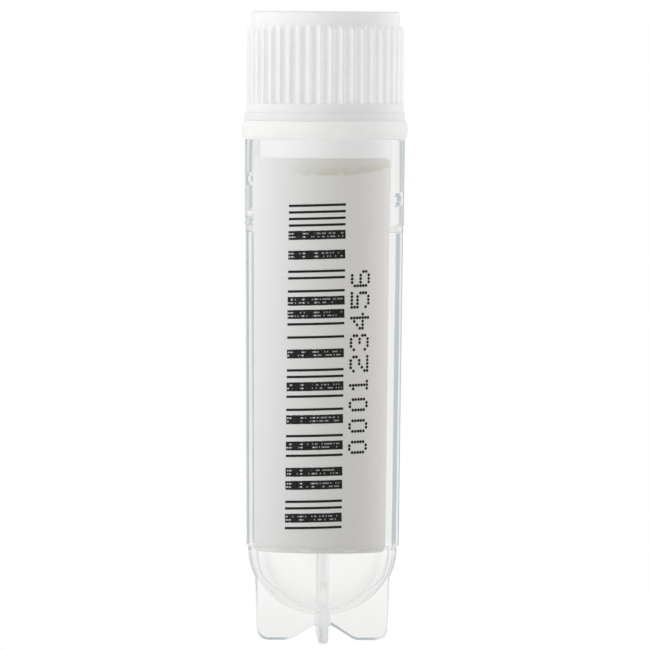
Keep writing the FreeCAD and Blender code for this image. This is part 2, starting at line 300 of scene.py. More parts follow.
def joined(piece, others):
    """Fuses the other closed solids into the piece, so that one skin is left."""
    for other in others:
        applied(piece, "BOOLEAN", operation="UNION", solver="MANIFOLD", object=other)
        bpy.data.objects.remove(other)
    return piece


def smoothed(piece, degrees=32.0):
    """Smooth shading: crisp edges above the angle, and broad faces keep their own direction."""
    activate(piece)
    bpy.ops.object.shade_smooth_by_angle(angle=math.radians(degrees))
    return applied(piece, "WEIGHTED_NORMAL", weight=100, keep_sharp=True)


def arc(centre, radius, start, end, steps):
    """Points (r, z) along an arc between two angles in degrees."""
    angles = [math.radians(start + (end - start) * i / steps) for i in range(steps + 1)]
    return [(centre[0] + radius * math.cos(a), centre[1] + radius * math.sin(a)) for a in angles]


def rounded(corners, steps=5):
    """Points (r, z) of a line whose corners (r, z, radius) are rounded."""
    points = [corners[0][:2]]
    for before, corner, after in zip(corners, corners[1:], corners[2:]):
        here, radius = Vector(corner[:2]), corner[2]
        if not radius:
            points.append(tuple(here))
            continue
        back = (Vector(before[:2]) - here).normalized()
        on = (Vector(after[:2]) - here).normalized()
        half = back.angle(on) / 2
        centre = here + (back + on).normalized() * radius / math.sin(half)
        first = here + back * radius / math.tan(half) - centre
        last = here + on * radius / math.tan(half) - centre
        start = math.atan2(first.y, first.x)
        sweep = (math.atan2(last.y, last.x) - start + math.pi) % TURN - math.pi
        points += arc(centre, radius, math.degrees(start), math.degrees(start + sweep), steps)
    return points + [corners[-1][:2]]


def spun(name, section, steps):
    """A piece turned about the axis from its section (r, z)."""
    piece = drawn(name, [(r, 0, z) for r, z in section])
    bpy.ops.mesh.spin(steps=steps, angle=TURN, center=(0, 0, 0), axis=(0, 0, 1))
    return made_solid(piece)


# ---------------------------------------------------------------- thread
def thread_ridge(name, root, crest, helix_z, low_z, high_z):
    """One helical ridge on the root radius, which reaches the crest and fades at both ends."""
    size = bpy.context.scene.vial_thread
    outward = 1 if crest > root else -1
    sunk = root - outward * 0.1 * MM        # its foot, inside the wall
    faded = root - outward * 0.05 * MM      # its crest at the very ends
    chamfer = 0.07 * MM
    slope = math.tan(size.flank)
    half_foot = size.crest / 2 + size.height * slope
    first = (low_z + half_foot - helix_z) / size.pitch
    last = (high_z - half_foot - helix_z) / size.pitch
    steps = math.ceil((last - first) * 72)          # one for every five degrees

    shoulder = crest - outward * chamfer
    half_sunk = size.crest / 2 + abs(crest - sunk) * slope
    half_shoulder = size.crest / 2 + 0.03 * MM      # the flank just under the crest's chamfer
    half_crest = size.crest / 2 - chamfer
    section = [(sunk, -half_sunk), (shoulder, -half_shoulder), (crest, -half_crest),
               (crest, half_crest), (shoulder, half_shoulder), (sunk, half_sunk)]
    base_z = helix_z + first * size.pitch
    ridge = drawn(name, [(r, 0, base_z + z) for r, z in section + section[:1]])
    bpy.ops.mesh.remove_doubles(threshold=MERGE)
    bpy.ops.object.mode_set(mode="OBJECT")
    applied(ridge, "SCREW", angle=(last - first) * TURN, screw_offset=(last - first) * size.pitch,
            steps=steps, render_steps=steps)

    def place(co):
        """Number of the section that a vertex belongs to, and its radius."""
        around = math.atan2(co.y, co.x) / TURN
        laps = round((co.z - base_z) / size.pitch - around)
        return round((around + laps) * steps / (last - first)), math.hypot(co.x, co.y)

    bpy.ops.object.mode_set(mode="EDIT")
    for i in range(steps + 1):
        here = (last - first) * i / steps
        rise = min(1.0, here / size.fade, (last - first - here) / size.fade)
        if rise == 1.0:
            continue
        share = math.sin(rise * math.pi / 2) ** 2
        for level in (crest, shoulder):
            target = faded + (level - faded) * share
            pick(ridge, "VERT", lambda co: place(co)[0] == i
                 and abs(place(co)[1] - level) < 0.02 * MM)
            bpy.ops.transform.resize(value=(target / level, target / level, 1),
                                     center_override=(0, 0, 0))
    bpy.ops.mesh.select_mode(type="EDGE")
    bpy.ops.mesh.select_all(action="DESELECT")
    bpy.ops.mesh.select_non_manifold()
    bpy.ops.mesh.fill_holes(sides=0)
    bpy.ops.mesh.select_all(action="SELECT")
    bpy.ops.transform.rotate(value=-(size.start + first * TURN), orient_axis="Z",
                             center_override=(0, 0, 0))
    return made_solid(ridge)


# ---------------------------------------------------------------- materials
def add_node(tree, kind, inputs=(), out=0, stops=(), **settings):
    """Adds a node with its settings, its inputs' values and links, and a ramp's stops.

    The inputs are listed in the node's own order or given by name.  What comes back is the
    output asked for, or the node where it has none.
    """
    node = tree.nodes.new("ShaderNode" + kind)
    for name, value in settings.items():
        setattr(node, name, value)
    for socket, value in inputs.items() if isinstance(inputs, dict) else enumerate(inputs):
        if isinstance(value, bpy.types.NodeSocket):
            tree.links.new(value, node.inputs[socket])
        else:
            node.inputs[socket].default_value = value
    if stops:
        elements = node.color_ramp.elements
        while len(elements) < len(stops):
            elements.new(0.5)
        for element, (place, number) in zip(elements, stops):
            element.position = place
            element.color = (number, number, number, 1.0)
    return node.outputs[out] if node.outputs else node


def toned(tint, red=1.0, green=1.0, blue=1.0):
    """A tint as a node's colour, with its red, green and blue taken down to these shares."""
    return [tint[0] * red, tint[1] * green, tint[2] * blue, 1.0]


def mottled(tree, place, size, detail=2.0):
    """Soft patches from 0 to 1, whose size is given in metres along x, y and z."""
    where = add_node(tree, "Mapping", {"Vector": place, "Scale": [1 / s for s in size]})
    patches = add_node(tree, "TexNoise", {"Vector": where, "Scale": 1.0, "Detail": detail})
    return add_node(tree, "MapRange", {"Value": patches, "From Min": 0.3, "From Max": 0.7})


def round_the_axis(tree):
    """A piece's own coordinates, the azimuth from the front (right positive) and the height."""
    place = add_node(tree, "TexCoord", out="Object")
    right, back, height = add_node(tree, "SeparateXYZ", [place]).node.outputs
    front = add_node(tree, "Math", [back, -1.0], operation="MULTIPLY")
    return place, add_node(tree, "Math", [right, front], operation="ARCTAN2"), height


def new_material(name):
    """An empty node material and its node tree."""
    material = bpy.data.materials.new(name)
    material.use_nodes = True
    material.node_tree.nodes.clear()
    return material, material.node_tree


def finish_surface(tree, shader, straight):
    """Ends a material whose plastic lets this share of other pieces' light go straight through.

    The share holds for shadow rays and for diffuse ones, so that a piece inside or behind is lit
    as plainly as one outside, and the plastic itself looks the same.
    """
    rays = add_node(tree, "LightPath").node.outputs
    light = add_node(tree, "Math", [rays["Is Shadow Ray"], rays["Is Diffuse Ray"]],
                     operation="MAXIMUM")
    share = add_node(tree, "Math", [light, straight], operation="MULTIPLY")
    open_way = add_node(tree, "BsdfTransparent")
    mixed = add_node(tree, "MixShader", [share, shader, open_way])
    add_node(tree, "OutputMaterial", [mixed])


def clear_polypropylene(size, foot_z, edge_r):
    """Clear random-copolymer polypropylene, injection moulded in a polished tool.

    Bright gloss and nearly clear, with flow waves along the tube that soften what shows through
    and a little haze in the foot.  The fins' outer edges are matt, from the spark-eroded slots
    of the mould.  Light on its way to or from other pieces goes straight through the wall, so
    that the plug inside is lit as plainly as the cap outside.
    """
    material, tree = new_material("Clear polypropylene, polished moulding")
    place = add_node(tree, "TexCoord", out="Object")
    # flow waves: about a millimetre apart round the tube, and four or five along it
    waves = mottled(tree, place, (1.111 * MM, 1.111 * MM, 4.545 * MM))
    bump = add_node(tree, "Bump", {"Height": waves, "Strength": 0.1, "Distance": 0.02 * MM})
    body = add_node(tree, "Mix", {0: waves, 6: toned(size.plastic),
                                  7: toned(size.plastic, 0.99, 0.99, 0.99)},
                    2, data_type="RGBA")
    haze = add_node(tree, "MapRange", {"Value": waves, "To Min": 0.01, "To Max": 0.03})

    # a fin's outer edge: far out, within the fin's thickness and away from its rounded sides
    folded = add_node(tree, "VectorMath", [place], operation="ABSOLUTE")
    across, along, height = add_node(tree, "SeparateXYZ", [folded]).node.outputs
    aside = add_node(tree, "Math", [across, along], operation="MINIMUM")
    on_fin = add_node(tree, "Math", [aside, size.fin_thickness / 2 - 0.005 * MM],
                      operation="LESS_THAN")
    outward = add_node(tree, "Math", [across, along], operation="MAXIMUM")
    in_corner = add_node(tree, "Math", [height, size.fin_corner], operation="LESS_THAN")
    edge = add_node(tree, "Math", [in_corner, -size.fin_corner, edge_r],
                    operation="MULTIPLY_ADD")
    on_edge = add_node(tree, "Math", [outward, edge], operation="GREATER_THAN")
    in_foot = add_node(tree, "Math", [height, foot_z], operation="LESS_THAN")
    matt = add_node(tree, "Math", [on_fin, on_edge], operation="MULTIPLY")
    matt = add_node(tree, "Math", [matt, in_foot], operation="MULTIPLY")
    matt = add_node(tree, "Math", [matt, 0.28], operation="MULTIPLY")
    haze = add_node(tree, "Math", [in_foot, 0.07, haze], operation="MULTIPLY_ADD")
    haze = add_node(tree, "Math", [haze, matt], operation="MAXIMUM")
    plastic = add_node(tree, "BsdfPrincipled", {
        "Base Color": body, "Roughness": haze, "IOR": 1.49, "Transmission Weight": 1.0,
        "Normal": bump})
    finish_surface(tree, plastic, 1.0)
    return material


def milky_body(tree, body, rough, bump, ior, depth, glow, spread=(1.0, 1.0, 1.0)):
    """Ends a milky material: light goes in by the depth and comes out scattered.

    A share of it glows through from behind, and the spread says how far each colour gets.
    """
    plastic = add_node(tree, "BsdfPrincipled", {
        "Base Color": body, "Roughness": rough, "IOR": ior, "Subsurface Weight": 1.0,
        "Subsurface Radius": spread, "Subsurface Scale": depth, "Normal": bump})
    through = add_node(tree, "BsdfTranslucent", {"Color": body})
    milky = add_node(tree, "MixShader", [glow, plastic, through])
    finish_surface(tree, milky, 0.9)


def natural_polypropylene(tint):
    """Natural polypropylene, injection moulded with a fine satin skin.

    Milky and soft-edged: light goes a few millimetres in and comes out scattered, so the ribs
    show as faint stripes only.
    """
    material, tree = new_material("Natural polypropylene, satin moulding")
    place = add_node(tree, "TexCoord", out="Object")
    # clouds in the melt, about two millimetres across
    cloud = mottled(tree, place, [2.222 * MM] * 3, 3.0)
    # the satin skin's grain is about 0.02 mm, and is drawn five times coarser so that it shows
    grain = mottled(tree, place, [0.1111 * MM] * 3)
    body = add_node(tree, "Mix", {0: cloud, 6: toned(tint), 7: toned(tint, 0.98, 0.98, 0.98)},
                    2, data_type="RGBA")
    rough = add_node(tree, "MapRange", {"Value": grain, "To Min": 0.3, "To Max": 0.42})
    bump = add_node(tree, "Bump", {"Height": grain, "Strength": 0.12, "Distance": 0.01 * MM})
    milky_body(tree, body, rough, bump, 1.49, 4.0 * MM, 0.5)
    return material


def milky_silicone(tint):
    """Silicone rubber, compression moulded and unpigmented.

    Milky with a slight warm cast, a soft skin and small wet-looking glints.
    """
    material, tree = new_material("Silicone rubber, milky")
    place = add_node(tree, "TexCoord", out="Object")
    # uneven squeeze of the ring, in patches of about a millimetre and a half
    cloud = mottled(tree, place, [1.429 * MM] * 3, 3.0)
    body = add_node(tree, "Mix", {0: cloud, 6: toned(tint), 7: toned(tint, 0.96, 0.96, 0.96)},
                    2, data_type="RGBA")
    rough = add_node(tree, "MapRange", {"Value": cloud, "To Min": 0.22, "To Max": 0.38})
    bump = add_node(tree, "Bump", {"Height": cloud, "Strength": 0.2, "Distance": 0.03 * MM})
    milky_body(tree, body, rough, bump, 1.41, 2.5 * MM, 0.7, (1.0, 0.98, 0.95))
    return material


def label_film(tint, low, crease, high):
    """White synthetic label film with a matt print coat.

    A faint sallow arc darkens the film under its top edge.  Where the film bridges the low ledge,
    small crumples are bumped and darkened with painted shade, and its creases carry painted
    glints.
    """
    material, tree = new_material("White label film, matt coat")
    place, azimuth, height = round_the_axis(tree)
    # the coat's grain is about 0.02 mm, and is drawn eight times coarser so that it shows
    grain = mottled(tree, place, [0.1667 * MM] * 3, 3.0)
    body = add_node(tree, "Mix", {0: grain, 6: toned(tint), 7: toned(tint, 0.97, 0.97, 0.97)},
                    2, data_type="RGBA")

    # the arc: lowest a little right of the middle, darkest along its lower side, and ragged
    # in streaks 0.8 mm long and 0.3 mm high
    arc_height, arc_drop, ragged_by = 1.4 * MM, 1.38 * MM, 0.27 * MM
    streaks = mottled(tree, place, (0.7937 * MM, 0.7937 * MM, 0.2778 * MM), 3.0)
    aside = add_node(tree, "Math", [azimuth, math.radians(5)], operation="SUBTRACT")
    aside = add_node(tree, "Math", [aside, aside], operation="MULTIPLY")
    floor = add_node(tree, "Math", [aside, 0.8 * MM, high - arc_drop], operation="MULTIPLY_ADD")
    above = add_node(tree, "Math", [height, floor], operation="SUBTRACT")
    above = add_node(tree, "Math", [streaks, ragged_by, above], operation="MULTIPLY_ADD")
    depth = add_node(tree, "MapRange", {"Value": above, "From Min": ragged_by / 2,
                                        "From Max": arc_height + ragged_by / 2})
    sallow_arc = add_node(tree, "ValToRGB", [depth], stops=[(0.0, 0.0), (0.12, 1.0), (0.36, 0.75),
                                                       (0.62, 0.25), (1.0, 0.1)])
    span = add_node(tree, "MapRange", {"Value": azimuth, "From Min": -0.62, "From Max": 0.98})
    span = add_node(tree, "ValToRGB", [span], stops=[(0.0, 0.0), (0.08, 0.0), (0.22, 0.6),
                                                     (0.4, 1.0), (0.8, 0.9), (0.97, 0.4)])
    sallow_arc = add_node(tree, "Math", [sallow_arc, span], operation="MULTIPLY")
    patchy = add_node(tree, "Math", [streaks, 0.7, 0.5], operation="MULTIPLY_ADD")
    sallow_arc = add_node(tree, "Math", [sallow_arc, patchy], operation="MULTIPLY")
    # the arc darkens the film towards a sallow grey
    body = add_node(tree, "Mix", {0: sallow_arc, 6: body, 7: toned(tint, 0.8, 0.79, 0.68)}, 2,
                    data_type="RGBA")

    # crumples in the lowest millimetre, a millimetre and a third long and 0.2 mm high: a bump, and
    # painted shade in them that darkens the film
    ripple = mottled(tree, place, (1.333 * MM, 1.333 * MM, 0.2222 * MM))
    up = add_node(tree, "MapRange", {"Value": height, "From Min": low, "From Max": low + MM})
    zone = add_node(tree, "ValToRGB", [up], stops=[(0.0, 0.1), (0.2, 0.25), (0.3, 1.0),
                                                   (0.6, 0.6), (1.0, 0.0)])
    crumple_and_shade = add_node(tree, "Math", [zone, ripple], operation="MULTIPLY")
    crumple_and_shade = add_node(tree, "Math", [crumple_and_shade, 0.35], operation="MULTIPLY")
    # painted shade: the crumples darken the film towards a greenish grey
    body = add_node(tree, "Mix", {0: crumple_and_shade, 6: body, 7: toned(tint, 0.72, 0.73, 0.66)}, 2,
                    data_type="RGBA")

    # painted glints along the creases at the ledge, each 0.09 mm to both sides of it
    off = add_node(tree, "Math", [height, crease], operation="SUBTRACT")
    off = add_node(tree, "Math", [off], operation="ABSOLUTE")
    line = add_node(tree, "MapRange", {"Value": off, "From Max": 0.09 * MM, "To Min": 1.0,
                                       "To Max": 0.0})
    turned = add_node(tree, "MapRange", {"Value": azimuth, "From Min": -math.pi / 2,
                                         "From Max": math.pi / 2})
    dashes = add_node(tree, "ValToRGB", [turned], stops=[
        (0.20, 0.0), (0.23, 0.5), (0.27, 0.5), (0.30, 0.0), (0.40, 0.0), (0.41, 0.9),
        (0.435, 0.9), (0.45, 0.0), (0.575, 0.0), (0.59, 1.0), (0.63, 1.0), (0.65, 0.0)])
    glint = add_node(tree, "Math", [line, dashes], operation="MULTIPLY")
    body = add_node(tree, "Mix", {0: glint, 6: body, 7: linear("FFFFFF")}, 2, data_type="RGBA")
    bump = add_node(tree, "Bump", {"Height": crumple_and_shade, "Strength": 0.6, "Distance": 0.15 * MM})
    film = add_node(tree, "BsdfPrincipled", {"Base Color": body, "Roughness": 0.5,
                                             "Normal": bump})
    finish_surface(tree, film, 0.5)
    return material


def inked(tree, place, tint, share):
    """The black of a resin ribbon's ink, with this share of grey grain in it."""
    # the ribbon's grain is under 0.05 mm, and is drawn three times coarser so that it shows
    grain = mottled(tree, place, [0.1429 * MM] * 3)
    grain = add_node(tree, "Math", [grain, share], operation="MULTIPLY")
    return add_node(tree, "Mix", {0: grain, 6: toned(tint), 7: linear("BCB8B8")}, 2,
                    data_type="RGBA")


def finish_ink(tree, body):
    """Ends an ink: satin, with hardly a glint on it."""
    ink = add_node(tree, "BsdfPrincipled", {"Base Color": body, "Roughness": 0.5,
                                            "Specular IOR Level": 0.12})
    add_node(tree, "OutputMaterial", [ink])


def transfer_ink(tint):
    """Resin ink from a thermal-transfer ribbon, satin black."""
    material, tree = new_material("Thermal-transfer ink, satin black")
    finish_ink(tree, inked(tree, add_node(tree, "TexCoord", out="Object"), tint, 0.04))
    return material


# light dots between printed lines that lie side by side: how many dots there is room for along
# a line, how bright they are, and how likely one is from the left end (0) to the right one (1)
SEAM_DOTS = (
    (19.0, 1.0, [(0.0, 0.0), (0.03, 1.0), (0.11, 1.0), (0.12, 0.0), (0.25, 0.0), (0.26, 1.0),
                 (0.31, 1.0), (0.32, 0.0), (0.46, 0.0), (0.47, 0.9), (0.53, 0.6), (0.54, 0.0)]),
    (44.0, 0.7, [(0.0, 0.0), (0.15, 0.12), (0.42, 0.12), (0.5, 0.5), (0.6, 0.62), (0.94, 0.6),
                 (0.97, 0.0)]))


def lined_ink(tint, film, size):
    """The same ink where printed lines lie side by side.

    The film shows through as small light dots in the seams between the lines: long ones near
    the left end, single ones further in, and a fine row along the right half.
    """
    material, tree = new_material("Thermal-transfer ink, side by side lines")
    place, azimuth, height = round_the_axis(tree)
    body = inked(tree, place, tint, 0.05)

    # place along the lines, 0 at the left end and 1 at the right one
    halfway_down = size.first_bar - 12 * MM
    wide = size.bar_length / film_radius(halfway_down)
    fallen = add_node(tree, "Math", [size.first_bar, height], operation="SUBTRACT")
    aside = add_node(tree, "Math", [azimuth, size.bar_middle], operation="SUBTRACT")
    aside = add_node(tree, "Math", [fallen, math.tan(size.lean) / INK_BEND, aside],
                     operation="MULTIPLY_ADD")
    share = add_node(tree, "Math", [aside, 1 / wide, 0.5], operation="MULTIPLY_ADD")
    # number of the line, counted down from the first bar; a line rises to the right
    rise = size.bar_length * math.tan(size.slant) / size.module
    lines = add_node(tree, "Math", [share, rise, -rise / 2], operation="MULTIPLY_ADD")
    lines = add_node(tree, "Math", [fallen, 1 / size.module, lines], operation="MULTIPLY_ADD")
    line = add_node(tree, "Math", [lines], operation="FLOOR")
    # 0.5 in the middle between two lines and 0 on them
    seam = add_node(tree, "Math", [lines, 0.5], operation="PINGPONG")
    light = 0.0
    for room, bright, likely in SEAM_DOTS:
        column = add_node(tree, "Math", [share, room], operation="MULTIPLY")
        cell = add_node(tree, "Math", [column], operation="FLOOR")
        cell = add_node(tree, "CombineXYZ", [cell, line])
        chance = add_node(tree, "TexWhiteNoise", {"Vector": cell})
        wanted = add_node(tree, "ValToRGB", [share], stops=likely)
        wanted = add_node(tree, "Math", [wanted, 0.85], operation="MULTIPLY")
        shown = add_node(tree, "Math", [chance, wanted], operation="LESS_THAN")
        middle = add_node(tree, "Math", [column, 0.5], operation="PINGPONG")
        dot = add_node(tree, "Math", [middle, 2.2, 0.05], operation="MULTIPLY_ADD",
                       use_clamp=True)
        dot = add_node(tree, "Math", [shown, dot], operation="MULTIPLY")
        open_seam = add_node(tree, "MapRange", {"Value": seam, "From Min": 0.25,
                                                "From Max": 0.35, "To Max": bright})
        dot = add_node(tree, "Math", [dot, open_seam], operation="MULTIPLY")
        light = add_node(tree, "Math", [light, dot], operation="MAXIMUM")
    body = add_node(tree, "Mix", {0: light, 6: body, 7: toned(film)}, 2, data_type="RGBA")
    finish_ink(tree, body)
    return material


def dress(piece, material, body, node):
    """Gives a piece its material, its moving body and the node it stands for."""
    piece.data.materials.clear()
    piece.data.materials.append(material)
    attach(piece, body)
    if node:
        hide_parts(node)


# ---------------------------------------------------------------- sizes that pieces share
def tube_places():
    """Heights and radii of the tube that its own pieces and its neighbours need."""
    size = bpy.context.scene.vial_tube
    draft = math.tan(size.draft)
    at = {"rim_z": TUBE_HIGH.z, "shoulder_z": TUBE_HIGH.z - size.mouth_depth}
    at["neck_z"] = at["shoulder_z"] - size.neck_step
    at["neck_r"] = size.body_radius + size.neck_step
    at["rim_r"] = at["neck_r"] + (size.mouth_depth - size.rim_round) * draft
    at["mouth_r"] = at["neck_r"] - size.neck_wall
    at["dome_z"] = size.foot_clearance + size.dome_depth
    at["ledge_z"] = at["dome_z"] + size.dome_skirt
    at["body_z"] = at["ledge_z"] + size.ledge_step / 2
    at["body_r"] = size.body_radius - (at["neck_z"] - at["body_z"]) * draft
    at["fin_r"] = at["body_r"] - size.ledge_step
    at["dome_r"] = at["fin_r"] - size.fin_proud
    at["cavity_top_z"] = at["shoulder_z"] - size.shoulder_drop
    at["cavity_top_r"] = size.body_radius - size.shoulder_drop * draft - size.body_wall
    at["floor_z"] = size.foot_clearance + size.floor_wall
    at["cavity_r"] = (at["cavity_top_r"] - (at["cavity_top_z"] - at["floor_z"]) * draft) / (
        1 - draft)
    thread = bpy.context.scene.vial_thread
    slope = math.tan(thread.flank)
    at["mouth_crest_r"] = at["mouth_r"] - thread.height
    at["plug_crest_r"] = at["mouth_r"] - thread.radial_gap
    at["plug_core_r"] = at["plug_crest_r"] - thread.height
    at["helix_z"] = at["shoulder_z"] + thread.crest / 2 + thread.height * slope
    at["plug_drop"] = (thread.crest + (at["plug_crest_r"] - at["mouth_crest_r"]) * slope
                       + thread.flank_gap)
    at["land_z"] = at["rim_z"] - thread.land
    return at


# ---------------------------------------------------------------- tube
def fin_plate(name, at):
    """Two opposite fins of the foot as one upright plate through the axis, along X.

    A fin's straight outer edge flares into an ellipse that rises to the ledge.
    """
    size = bpy.context.scene.vial_tube
    lean = math.tan(size.fin_lean)
    # the straight outer edge, at the height where the round bottom is widest
    straight = at["fin_r"] - size.fin_inset
    arch_slope = size.hub_clearance / (size.flat_inner - size.hub_radius)
    flare = [(at["fin_r"] * math.sin(a), at["dome_z"] - size.dome_depth * math.cos(a))
             for a in (math.radians(50 + 40 * i / 24) for i in range(25))]
    flare = [(r, z) for r, z in flare if r > straight - (at["dome_z"] - z) * lean]
    top_z = at["ledge_z"] + 0.12 * MM       # a little way into the body's wall
    lower = rounded([(0, size.flat_inner * arch_slope, 0), (size.flat_inner, 0, size.arch_round),
                     (straight - at["dome_z"] * lean, 0, size.fin_corner), flare[0] + (0,)], 8)
    outer = lower + flare[1:] + [(at["fin_r"], top_z)]

    # the top runs inside the wall, half way through it
    wall_r = (at["dome_r"] + at["cavity_r"]) / 2
    wall_low = size.foot_clearance + size.floor_wall / 2
    upper = [(wall_r * math.sin(a), top_z - (top_z - wall_low) * math.cos(a))
             for a in (math.radians(90 - 90 * i / 14) for i in range(15))]
    half = outer + upper
    plate = drawn(name, [(x, -size.fin_thickness / 2, z)
                         for x, z in half + [(-x, z) for x, z in reversed(half[1:-1])]])
    bpy.ops.mesh.edge_face_add()
    bpy.ops.mesh.extrude_region_move(
        TRANSFORM_OT_translate={"value": (0, size.fin_thickness, 0)})
    rim = [Vector(a).lerp(Vector(b), 0.5) for a, b in zip(outer, outer[1:])][:-1]

    def free_edge(middle):
        """Is it a long edge of the plate outside the round bottom?"""
        return (abs(abs(middle.y) - size.fin_thickness / 2) < 0.01 * MM
                and min((Vector((abs(middle.x), middle.z)) - m).length for m in rim) < 0.001 * MM)

    pick(plate, "EDGE", free_edge)
    bpy.ops.mesh.bevel(offset=size.fin_edge, offset_type="OFFSET", segments=3, profile=0.5,
                       affect="EDGES")
    return made_solid(plate)


def build_tube():
    """The clear tube: walls, round bottom, finned foot and threaded mouth, fused to one skin."""
    size = bpy.context.scene.vial_tube
    at = tube_places()
    bottom = [(at["dome_r"] * math.sin(a), at["dome_z"] - size.dome_depth * math.cos(a))
              for a in (math.radians(i * 90 / 30) for i in range(31))]
    # up the outside, over the rim and down inside: each radius, height and rounding
    walls = rounded([
        bottom[-2] + (0,), (at["dome_r"], at["dome_z"], 0),
        (at["dome_r"], at["ledge_z"], 0.05 * MM), (at["body_r"], at["body_z"], 0.03 * MM),
        (size.body_radius, at["neck_z"], 0.05 * MM), (at["neck_r"], at["shoulder_z"], 0.05 * MM),
        (at["rim_r"], at["rim_z"], size.rim_round),
        (at["mouth_r"], at["rim_z"], size.rim_round),
        (at["mouth_r"], at["shoulder_z"], 0.3 * MM),
        (at["cavity_top_r"], at["cavity_top_z"], 0.4 * MM),
        (at["cavity_r"], at["floor_z"] + at["cavity_r"], 0)], 4)
    inside = arc((0, at["floor_z"] + at["cavity_r"]), at["cavity_r"], 0, -90, 30)
    section = bottom[:-1] + walls[1:-1] + inside
    section[0] = (0, section[0][1])
    section[-1] = (0, section[-1][1])
    tube = spun("clear_tube", section, COLUMNS)

    # the post at the fins' crossing, from its end up into the wall of the round bottom
    hub_section = rounded([(0, size.hub_clearance, 0), (size.hub_radius, size.hub_clearance,
                                                        0.12 * MM),
                           (size.hub_radius, size.foot_clearance + 0.3 * MM, 0),
                           (0, size.foot_clearance + 0.3 * MM, 0)])
    hub = spun("hub", hub_section, 64)
    plates = [fin_plate("fins_across", at), fin_plate("fins_along", at)]
    activate(plates[1])
    bpy.ops.object.mode_set(mode="EDIT")
    bpy.ops.mesh.select_all(action="SELECT")
    bpy.ops.transform.rotate(value=math.pi / 2, orient_axis="Z", center_override=(0, 0, 0))
    bpy.ops.object.mode_set(mode="OBJECT")
    ridge = thread_ridge("mouth_ridge", at["mouth_r"], at["mouth_crest_r"], at["helix_z"],
                         at["shoulder_z"], at["land_z"])
    joined(tube, plates + [hub, ridge])
    smoothed(tube)
    edge_r = at["fin_r"] - size.fin_inset - at["dome_z"] * math.tan(size.fin_lean) - 0.05 * MM
    plastic = clear_polypropylene(size, at["ledge_z"], edge_r)
    dress(tube, plastic, "vial", "tube")


# ---------------------------------------------------------------- washer
def build_washer():
    """The silicone ring, squeezed so that its side bulges between the rim and the flange."""
    size = bpy.context.scene.vial_washer
    at = tube_places()
    low, high = WASHER_LOW.z, WASHER_HIGH.z
    edge = at["rim_r"] + size.rim_overhang
    bore = at["plug_crest_r"] + size.bore_gap
    bulge = WASHER_HIGH.x - edge
    # squeezed rubber stands out more squarely than a plain wave, hence the power under one
    side = [(edge + bulge * math.sin(math.pi * i / 12) ** 0.8, low + (high - low) * i / 12)
            for i in range(1, 12)]
    section = rounded([(bore, low + 0.2 * MM, 0), (bore, low, size.edge_round / 2),
                       (edge, low, size.edge_round / 3)] + [p + (0,) for p in side]
                      + [(edge, high, size.edge_round / 3), (bore, high, size.edge_round / 2),
                         (bore, low + 0.2 * MM, 0)], 3)
    washer = spun("silicone_washer", section, COLUMNS)
    smoothed(washer, 40)
    dress(washer, milky_silicone(size.rubber), "washer", "sealing_washer")


